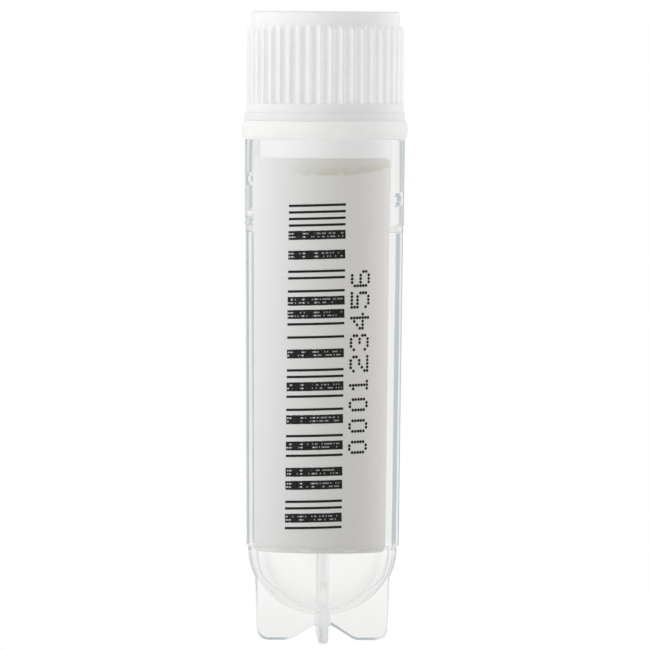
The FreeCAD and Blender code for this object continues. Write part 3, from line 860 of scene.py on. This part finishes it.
# ---------------------------------------------------------------- cap
def build_cap():
    """The ribbed cap: one wedge with half a rib at each side, repeated round the axis."""
    size = bpy.context.scene.vial_cap
    at = tube_places()
    flange_z, top_z, tip_z = WASHER_HIGH.z, CAP_HIGH.z, CAP_LOW.z
    flange_r = at["rim_r"]
    grip_r = flange_r - size.grip_step
    crown_r = grip_r - size.crown_step
    seat_r = crown_r - size.crown_wall
    grip_z = flange_z + size.flange_height
    grip_top = grip_z + size.grip_height
    seat_z = top_z - size.seat_depth
    hollow_r = at["plug_core_r"] - size.plug_wall
    hollow_top = seat_z - size.web

    # rows of the grip: close together where the grooves run out
    run_out = size.flute_radius
    groove_low = grip_z + size.plain_band
    rows = [(grip_r, groove_low + run_out * i / 6) for i in range(7)]
    rows += [(grip_r, groove_low + run_out + (grip_top - groove_low - run_out) * i / 4)
             for i in range(1, 5)]
    chamfer = [(grip_r + (crown_r - grip_r) * i / 8, grip_top + size.chamfer * i / 8)
               for i in range(1, 9)]
    # from the hollow out over the plug, flange, grip and crown to the seat: radius, height and
    # rounding
    section = rounded(
        [(0, hollow_top, 0), (hollow_r, hollow_top, size.hollow_round),
         (hollow_r, tip_z, 0.08 * MM),
         (at["plug_core_r"] - size.plug_chamfer, tip_z, 0.08 * MM),
         (at["plug_core_r"], tip_z + size.plug_chamfer, 0.1 * MM),
         (at["plug_core_r"], at["land_z"], 0.1 * MM),
         (at["plug_crest_r"], at["land_z"] + size.plug_taper, 0.1 * MM),
         (at["plug_crest_r"], flange_z, 0), (flange_r, flange_z, 0.08 * MM),
         (flange_r, grip_z, 0.08 * MM), (grip_r, grip_z, 0.04 * MM)]
        + [p + (0,) for p in rows + chamfer]
        + [(crown_r, top_z, size.crown_round), (seat_r, top_z, 0.12 * MM),
           (seat_r, seat_z, 0.15 * MM), (0, seat_z, 0)], 4)

    steps = 10
    wedge = TURN / size.flutes
    cap = drawn("ribbed_cap", [(r, 0, z) for r, z in section])
    bpy.ops.mesh.spin(steps=steps, angle=wedge, center=(0, 0, 0), axis=(0, 0, -1))

    cutter = crown_r + size.flute_gap + size.flute_radius

    def groove_radius(angle):
        """Radius of the groove's floor at an angle from its middle."""
        aside = cutter * math.sin(angle)
        if abs(aside) >= size.flute_radius:
            return math.inf
        return cutter * math.cos(angle) - math.sqrt(size.flute_radius ** 2 - aside ** 2)

    for column in range(1, steps):
        angle = wedge * column / steps
        floor = groove_radius(angle - wedge / 2)
        for r, z in rows + chamfer:
            if r <= floor:
                continue
            below = max(0.0, groove_low + run_out - z) / run_out
            depth = (r - floor) * math.sqrt(max(0.0, 1 - below ** 2))
            if depth < 0.001 * MM:
                continue
            pick(cap, "VERT", lambda co: abs(co.z - z) < 0.002 * MM
                 and abs(math.hypot(co.x, co.y) - r) < 0.01 * MM
                 and abs(math.atan2(co.y, co.x) - angle) < wedge / steps / 4)
            share = (r - depth) / r
            bpy.ops.transform.resize(value=(share, share, 1), center_override=(0, 0, 0))
    bpy.ops.mesh.select_all(action="SELECT")
    bpy.ops.mesh.spin(steps=size.flutes - 1, dupli=True, angle=TURN - wedge, center=(0, 0, 0),
                      axis=(0, 0, -1))
    bpy.ops.mesh.select_all(action="SELECT")
    bpy.ops.transform.rotate(value=-(size.flute_turn - wedge / 2), orient_axis="Z",
                             center_override=(0, 0, 0))
    made_solid(cap)
    ridge = thread_ridge("plug_ridge", at["plug_core_r"], at["plug_crest_r"],
                         at["helix_z"] - at["plug_drop"], tip_z + size.plug_chamfer,
                         at["land_z"])
    joined(cap, [ridge])
    smoothed(cap, 40)
    dress(cap, natural_polypropylene(size.plastic), "cap", "screw_cap")


# ---------------------------------------------------------------- label
FILM_BEND = 6.0 * MM        # radius that the flat film is bent to before it is laid on
INK_BEND = 6.4 * MM         # and the flat print, a little further out

# narrow (0) and wide (1) elements of a digit in the interleaved two-of-five code
TWO_OF_FIVE = ("00110", "10001", "01001", "11000", "00101",
               "10100", "01100", "00011", "10010", "01010")

# dot-matrix digits, row by row from the top
DOT_DIGITS = (
    ".##. #..# #..# #..# #..# #..# .##.", "..#.. .##.. ..#.. ..#.. ..#.. ..#.. .###.",
    ".###. #...# ....# ..##. .#... #.... #####", ".###. #...# ....# ..##. ....# #...# .###.",
    "...#. ..##. .#.#. #..#. ##### ...#. ...#.", "##### #.... ####. ....# ....# #...# .###.",
    ".###. #.... #.... ####. #...# #...# .###.", "##### ....# ...#. ..#.. .#... .#... .#...",
    ".###. #...# #...# .###. #...# #...# .###.", ".###. #...# #...# .#### ....# ....# .###.")


def bent(piece, radius):
    """Bends a flat drawing in the plane y = 0 round the axis, its middle towards the front."""
    across = [v.co.x for v in piece.data.vertices]
    applied(piece, "SIMPLE_DEFORM", deform_method="BEND", deform_axis="Z",
            angle=(max(across) - min(across)) / radius)
    bpy.ops.object.mode_set(mode="EDIT")
    bpy.ops.mesh.select_all(action="SELECT")
    bpy.ops.transform.translate(value=(0, -radius, 0))
    bpy.ops.object.mode_set(mode="OBJECT")


def cut_across(places, normal):
    """In edit mode, cuts the flat drawing at each place along the normal."""
    for place in places:
        bpy.ops.mesh.select_all(action="SELECT")
        bpy.ops.mesh.bisect(plane_co=[place * n for n in normal], plane_no=normal)


def flat_patch(across, height, wide, tall, slant=0.0):
    """A flat rectangle in the plane y = 0, turned by the slant about its middle."""
    bpy.ops.mesh.primitive_plane_add(size=1, location=(across, 0, height),
                                     rotation=(math.pi / 2, -slant, 0))
    bpy.context.object.scale = (wide, tall, 1)
    bpy.ops.object.transform_apply(location=True, rotation=True, scale=True)
    return bpy.context.object


def build_label():
    """The film, wrapped round the front of the tube, and its print."""
    size = bpy.context.scene.vial_label
    at = tube_places()
    low, high = LABEL_LOW.z, LABEL_HIGH.z
    left, right = size.left * FILM_BEND, size.right * FILM_BEND
    bpy.ops.object.select_all(action="DESELECT")
    film = flat_patch((left + right) / 2, (low + high) / 2, right - left, high - low)
    film.name = film.data.name = "label_film"
    bpy.ops.object.mode_set(mode="EDIT")
    bpy.ops.mesh.select_all(action="SELECT")
    bpy.ops.mesh.bevel(affect="VERTICES", offset=size.corner, offset_type="OFFSET", segments=6)
    # columns for the bend, and rows at the ledge, along the wall and at the neck's step
    columns = 82
    cut_across([left + (right - left) * i / columns for i in range(1, columns)], (1, 0, 0))
    wall_low = low + 1.5 * MM
    cut_across([low + 0.15 * MM * i for i in range(1, 8)]
               + [wall_low + (at["neck_z"] - wall_low) * i / 8 for i in range(9)]
               + [at["shoulder_z"], (at["shoulder_z"] + high) / 2], (0, 0, 1))
    bpy.ops.object.mode_set(mode="OBJECT")
    bent(film, FILM_BEND)

    # a plain cone carries the film past the ledge, where the tube itself steps in
    foot_r = at["body_r"] - (at["body_z"] - low + 0.1 * MM) * math.tan(
        bpy.context.scene.vial_tube.draft)
    form = spun("film_form", [(foot_r, low - 0.1 * MM), (bpy.context.scene.vial_tube.body_radius,
                                                         at["neck_z"]),
                              (at["neck_r"], at["shoulder_z"]), (at["rim_r"], at["rim_z"])],
                COLUMNS)
    applied(film, "SHRINKWRAP", target=form, wrap_method="NEAREST_SURFACEPOINT",
            wrap_mode="ABOVE_SURFACE", offset=0.008 * MM)
    bpy.data.objects.remove(form)
    applied(film, "SOLIDIFY", thickness=size.thickness - 0.01 * MM, offset=1.0,
            use_even_offset=True)
    smoothed(film, 40)
    dress(film, label_film(size.film, low, at["ledge_z"], high), "vial", "label")
    build_print(film)


def laid_on(piece, film, material):
    """Bends a flat print, lays it on the film and gives it its thickness and ink."""
    size = bpy.context.scene.vial_label
    bent(piece, INK_BEND)
    applied(piece, "SHRINKWRAP", target=film, wrap_method="NEAREST_SURFACEPOINT",
            wrap_mode="ABOVE_SURFACE", offset=0.003 * MM)
    applied(piece, "SOLIDIFY", thickness=size.ink_height, offset=1.0)
    dress(piece, material, "vial", None)


def film_radius(height):
    """Radius of the film's outer face at a height on the vial."""
    tube = bpy.context.scene.vial_tube
    at = tube_places()
    foot = at["neck_z"] if height < at["neck_z"] else at["shoulder_z"]
    wall = tube.body_radius if height < at["neck_z"] else at["neck_r"]
    return (wall + (height - foot) * math.tan(tube.draft)
            + bpy.context.scene.vial_label.thickness)


def check_digit(number):
    """The last digit of the code: what the digits, weighed 3 and 1 in turn, lack to a ten."""
    total = sum(int(digit) * (3, 1)[i % 2] for i, digit in enumerate(reversed(number)))
    return str(-total % 10)


def bar_widths(number):
    """Bars of the interleaved two-of-five code, as (lines before it, lines in it)."""
    number += check_digit(number)
    widths = [1, 1, 1, 1]
    for first, second in zip(number[::2], number[1::2]):
        for bar, gap in zip(TWO_OF_FIVE[int(first)], TWO_OF_FIVE[int(second)]):
            widths += [3 if mark == "1" else 1 for mark in (bar, gap)]
    widths += [3, 1, 1]
    return [(sum(widths[:i]), widths[i]) for i in range(0, len(widths), 2)]


def as_one(name, patches):
    """Joins flat patches that don't touch to one piece of this name."""
    bpy.ops.object.select_all(action="DESELECT")
    for patch in patches:
        patch.select_set(True)
    bpy.context.view_layer.objects.active = patches[0]
    bpy.ops.object.join()
    patches[0].name = patches[0].data.name = name
    return patches[0]


def build_print(film):
    """The bar code and the number in dots, drawn flat and laid on the film."""
    size = bpy.context.scene.vial_label
    drift = math.tan(size.lean)

    middle = size.bar_middle * INK_BEND
    single, wide = [], []
    for before, lines in bar_widths(size.number):
        height = size.first_bar - (before + (lines - 1) / 2) * size.module
        tall = size.line + (lines - 1) * size.module
        long = size.bar_length * INK_BEND / film_radius(height)
        patch = flat_patch(middle - (size.first_bar - height) * drift, height, long, tall,
                           size.slant)
        (single if lines == 1 else wide).append(patch)
    # cut into columns for the bend, over a little more than a line's length
    steps = [middle + size.bar_length * (i / 30 - 0.5) * 1.3 for i in range(31)]
    single = as_one("printed_lines", single)
    wide = as_one("printed_wide_bars", wide)
    for bars in (single, wide):
        activate(bars)
        bpy.ops.object.mode_set(mode="EDIT")
        cut_across(steps, (1, 0, 0))
        bpy.ops.object.mode_set(mode="OBJECT")

    dots = []
    for place, digit in enumerate(reversed(size.number)):
        rows = DOT_DIGITS[int(digit)].split()
        for row, marks in enumerate(rows):
            for column, mark in enumerate(reversed(marks)):
                if mark != "#":
                    continue
                height = (size.last_digit - place * size.digit_pitch
                          - column * size.dot_columns
                          + row * size.dot_rows * FILM_BEND * math.tan(size.slant))
                across = (size.digit_from + row * size.dot_rows) * INK_BEND - (
                    size.last_digit - height) * drift
                bpy.ops.mesh.primitive_circle_add(vertices=10, radius=size.dot / 2,
                                                  fill_type="NGON", location=(across, 0, height),
                                                  rotation=(math.pi / 2, 0, 0))
                bpy.ops.object.transform_apply(location=True, rotation=True, scale=True)
                dots.append(bpy.context.object)
    dots = as_one("printed_number", dots)
    plain = transfer_ink(size.ink)
    laid_on(single, film, plain)
    laid_on(wide, film, lined_ink(size.ink, size.film, size))
    laid_on(dots, film, plain)


# ---------------------------------------------------------------- stage
def build_floor():
    """A white floor. It is white to the eye, with the vial's own shadow on it."""
    size = bpy.context.scene.vial_stage
    bpy.ops.object.select_all(action="DESELECT")
    bpy.ops.mesh.primitive_circle_add(vertices=96, radius=size.floor_radius, fill_type="NGON")
    floor = bpy.context.object
    floor.name = floor.data.name = "floor"
    bpy.ops.object.mode_set(mode="EDIT")
    bpy.ops.mesh.select_all(action="SELECT")
    bpy.ops.mesh.inset(thickness=50.0 * MM)
    bpy.ops.object.mode_set(mode="OBJECT")
    material, tree = new_material("White sweep, matt")
    place = add_node(tree, "TexCoord", out="Object")
    # the sweep's paint is a little uneven over a third of a metre
    tone = mottled(tree, place, [333.3 * MM] * 3)
    paint = add_node(tree, "Mix", {0: tone, 6: toned(size.floor),
                                   7: toned(size.floor, 0.98, 0.98, 0.98)},
                     2, data_type="RGBA")
    rays = add_node(tree, "LightPath").node.outputs
    paint = add_node(tree, "Mix", {0: rays["Is Camera Ray"], 6: paint, 7: linear("FFFFFF")}, 2,
                     data_type="RGBA")
    # it turns white by itself towards the rim, so that the floor has no edge
    away = add_node(tree, "VectorMath", [place], "Value", operation="LENGTH")
    level = add_node(tree, "MapRange", {"Value": away, "From Min": 15.0 * MM,
                                        "From Max": 90.0 * MM, "To Min": 0.76})
    seen = add_node(tree, "Math", [rays["Is Transmission Ray"], rays["Is Glossy Ray"]],
                    operation="MAXIMUM")
    seen = add_node(tree, "Math", [rays["Is Camera Ray"], seen], operation="MAXIMUM")
    share = add_node(tree, "Math", [seen, level], operation="MULTIPLY")
    matt = add_node(tree, "BsdfDiffuse", [paint])
    white = add_node(tree, "Emission", [linear("FFFFFF"), 1.0])
    mixed = add_node(tree, "MixShader", [share, matt, white])
    add_node(tree, "OutputMaterial", [mixed])
    floor.data.materials.append(material)


# the tent's brightness seen through the clear wall, all the way round: 0 and 1 are in front,
# 0.25 is at the left, 0.5 is straight behind.  Two dark slots beside 0.5 edge the wall in grey.
TENT_SLOTS = [(0.0, 1.0), (0.2, 0.8), (0.3, 0.75), (0.405, 0.8), (0.42, 0.1), (0.445, 0.1),
              (0.46, 0.9), (0.492, 0.9), (0.504, 0.0), (0.556, 0.0), (0.57, 0.93), (0.66, 0.93),
              (0.8, 0.8), (1.0, 1.0)]


def build_tent():
    """The light tent: dimmer in front, bright behind, with dark slots that edge the clear wall."""
    world = bpy.data.worlds.new("Light tent")
    bpy.context.scene.world = world
    world.use_nodes = True
    tree = world.node_tree
    tree.nodes.clear()
    way = add_node(tree, "TexCoord", out="Generated")
    right, back = add_node(tree, "SeparateXYZ", [way]).node.outputs[:2]
    behind = add_node(tree, "MapRange", {"Value": back, "From Min": -1.0})
    light = add_node(tree, "Mix", {0: behind, 6: linear("D1CECB"), 7: linear("FFFFFF")}, 2,
                     data_type="RGBA")
    aside = add_node(tree, "Math", [right, back], operation="ARCTAN2")
    turned = add_node(tree, "MapRange", {"Value": aside, "From Min": -math.pi,
                                         "From Max": math.pi})
    slots = add_node(tree, "ValToRGB", [turned], stops=TENT_SLOTS)
    cool = add_node(tree, "Mix", {0: slots, 6: linear("ADB6BC"), 7: linear("F8F8F7")}, 2,
                    data_type="RGBA")
    rays = add_node(tree, "LightPath").node.outputs
    through = add_node(tree, "Math", [rays["Is Transmission Ray"], rays["Is Glossy Ray"]],
                       operation="MAXIMUM")
    lit = add_node(tree, "Mix", {0: through, 6: light, 7: cool}, 2, data_type="RGBA")
    shown = add_node(tree, "Mix", {0: rays["Is Camera Ray"], 6: lit, 7: linear("FFFFFF")}, 2,
                     data_type="RGBA")
    add_node(tree, "OutputWorld", [add_node(tree, "Background", [shown, 1.0])])


# softboxes: name, azimuth from the front, colour, width, and the share of a white world's light
# that it gives at the vial
SOFTBOXES = (("left_softbox", -77.0, "F0F8FF", 0.22, 0.52),
             ("right_softbox", 118.0, "FFFFFF", 0.2, 0.66))


def build_lamps():
    """Two softboxes: a cool one at the left and a neutral one behind at the right."""
    middle = Vector((0, 0, (CAD_BOX[0][2] + CAD_BOX[1][2]) / 2))
    away, tall = 0.3, 0.3
    for name, azimuth, code, width, level in SOFTBOXES:
        angle = math.radians(azimuth)
        place = middle + Vector((math.sin(angle), -math.cos(angle), 0.15)) * away
        bpy.ops.object.light_add(type="AREA", location=place)
        lamp = bpy.context.object
        lamp.name = name
        lamp.data.shape = "RECTANGLE"
        lamp.data.size, lamp.data.size_y = width, tall
        lamp.data.color = linear(code)[:3]
        lamp.data.energy = level * (math.pi * away) ** 2
        # the plastic shows the tent in its reflections, not the lamps
        lamp.visible_glossy = lamp.visible_transmission = False
        lamp.rotation_mode = "QUATERNION"
        lamp.rotation_quaternion = (middle - place).to_track_quat("-Z", "Y")


def build_stage():
    """White floor, light tent, softboxes and a long lens."""
    size = bpy.context.scene.vial_stage
    scene = bpy.context.scene
    build_floor()
    build_tent()
    build_lamps()
    camera = bpy.data.objects.new("camera", bpy.data.cameras.new("camera"))
    scene.collection.objects.link(camera)
    camera.data.lens = size.lens
    camera.data.clip_start, camera.data.clip_end = 0.01, 20.0
    camera.location = (-size.distance * math.sin(size.side), -size.distance * math.cos(size.side),
                       size.height)
    aim = Vector((size.aside, 0, size.aim))
    camera.rotation_mode = "QUATERNION"
    camera.rotation_quaternion = ((aim - camera.location).to_track_quat("-Z", "Y")
                                  @ Quaternion((0, 0, 1), size.roll))
    scene.camera = camera
    scene.view_settings.view_transform = "Standard"
    # light is piped up and down the clear wall, mirrored dozens of times inside it
    scene.cycles.max_bounces = scene.cycles.glossy_bounces = 96
    scene.cycles.transmission_bounces = scene.cycles.transparent_max_bounces = 96


# ---------------------------------------------------------------- operators
class VIAL_OT_tube(bpy.types.Operator):
    """Model the clear tube with its finned foot and threaded mouth"""

    bl_idname = "vial.tube"
    bl_label = "Clear Tube"
    bl_options = {"REGISTER", "UNDO"}

    def execute(self, context):
        build_tube()
        return {"FINISHED"}


class VIAL_OT_washer(bpy.types.Operator):
    """Model the silicone washer squeezed between the rim and the cap"""

    bl_idname = "vial.washer"
    bl_label = "Silicone Washer"
    bl_options = {"REGISTER", "UNDO"}

    def execute(self, context):
        build_washer()
        return {"FINISHED"}


class VIAL_OT_cap(bpy.types.Operator):
    """Model the ribbed screw cap with its hollow threaded plug"""

    bl_idname = "vial.cap"
    bl_label = "Ribbed Cap"
    bl_options = {"REGISTER", "UNDO"}

    def execute(self, context):
        build_cap()
        return {"FINISHED"}


class VIAL_OT_label(bpy.types.Operator):
    """Model the label film round the tube with its bars and digits"""

    bl_idname = "vial.label"
    bl_label = "Printed Label"
    bl_options = {"REGISTER", "UNDO"}

    def execute(self, context):
        build_label()
        return {"FINISHED"}


class VIAL_OT_stage(bpy.types.Operator):
    """Set the floor, the light tent, the lamps and the camera"""

    bl_idname = "vial.stage"
    bl_label = "Stage"
    bl_options = {"REGISTER", "UNDO"}

    def execute(self, context):
        build_stage()
        return {"FINISHED"}


class VIAL_PT_sidebar(bpy.types.Panel):
    """Sizes, colours and a button for each piece of the vial"""

    bl_label = "Cryovial"
    bl_idname = "VIAL_PT_sidebar"
    bl_space_type = "VIEW_3D"
    bl_region_type = "UI"
    bl_category = "Cryovial"

    def draw(self, context):
        for group, button in PANEL_ROWS:
            box = self.layout.box()
            settings = getattr(context.scene, group)
            for name in settings.__annotations__:
                box.prop(settings, name)
            if button:
                box.operator(button)


GROUPS = {"vial_tube": TubeSizes, "vial_thread": ThreadSizes, "vial_washer": WasherSizes,
          "vial_cap": CapSizes, "vial_label": LabelSizes, "vial_stage": StageSizes}
PANEL_ROWS = (("vial_thread", None), ("vial_tube", "vial.tube"), ("vial_washer", "vial.washer"),
              ("vial_cap", "vial.cap"), ("vial_label", "vial.label"), ("vial_stage", "vial.stage"))
BUTTONS = (VIAL_OT_tube, VIAL_OT_washer, VIAL_OT_cap, VIAL_OT_label, VIAL_OT_stage,
           VIAL_PT_sidebar)


def register():
    """Adds the settings to the scene, and the operators and the panel to Blender."""
    for name, group in GROUPS.items():
        bpy.utils.register_class(group)
        setattr(bpy.types.Scene, name, PointerProperty(type=group))
    for button in BUTTONS:
        bpy.utils.register_class(button)


def unregister():
    """Takes away what register added."""
    for button in reversed(BUTTONS):
        bpy.utils.unregister_class(button)
    for name, group in reversed(GROUPS.items()):
        delattr(bpy.types.Scene, name)
        bpy.utils.unregister_class(group)


def main():
    """Builds every piece and the stage."""
    register()
    bpy.ops.vial.tube()
    bpy.ops.vial.washer()
    bpy.ops.vial.cap()
    bpy.ops.vial.label()
    bpy.ops.vial.stage()


if __name__ == "__main__":
    main()
